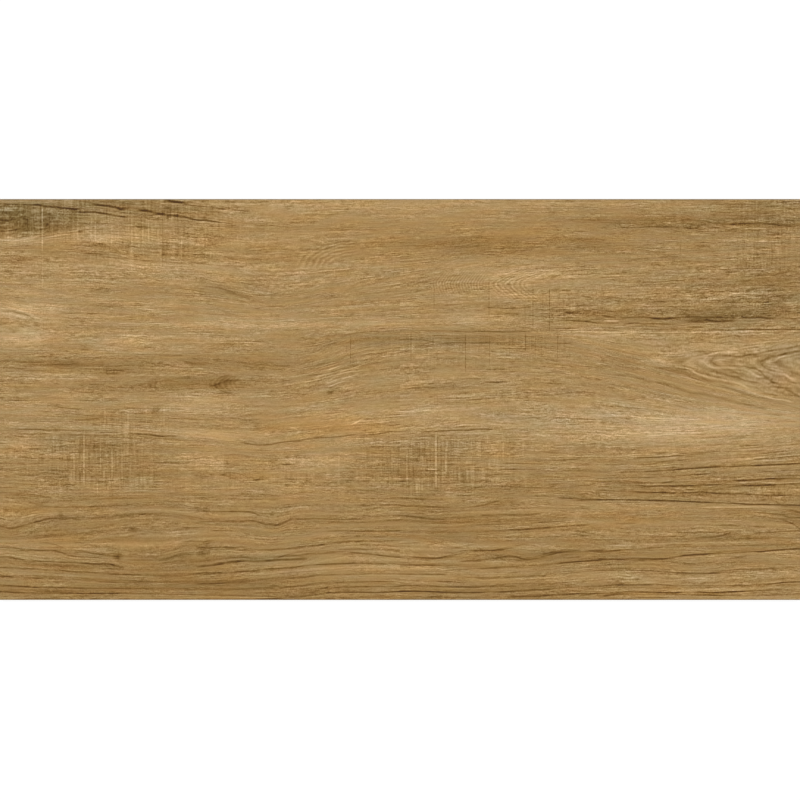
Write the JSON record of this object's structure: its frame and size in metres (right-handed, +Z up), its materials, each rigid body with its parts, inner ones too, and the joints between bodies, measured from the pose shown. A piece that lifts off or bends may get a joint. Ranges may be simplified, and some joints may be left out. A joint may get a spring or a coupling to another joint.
{
  "type": "wood look porcelain tile",
  "caption": "Flat rectangular porcelain tile with a printed oak board face, ground bevelled edges and a shallow keyed back for bedding in adhesive.",
  "frame": {"origin": "middle of the back, on the plane of the ribs that the tile rests on", "axes": "+X along the length, +Y across the width, +Z up out of the printed face"},
  "size_m": [1.2, 0.6, 0.009],
  "materials": {
    "printed_porcelain": "matt glaze with a printed oak grain"
  },
  "bodies": {
    "root": {"porcelain_tile": "printed_porcelain"}
  },
  "joints": []
}
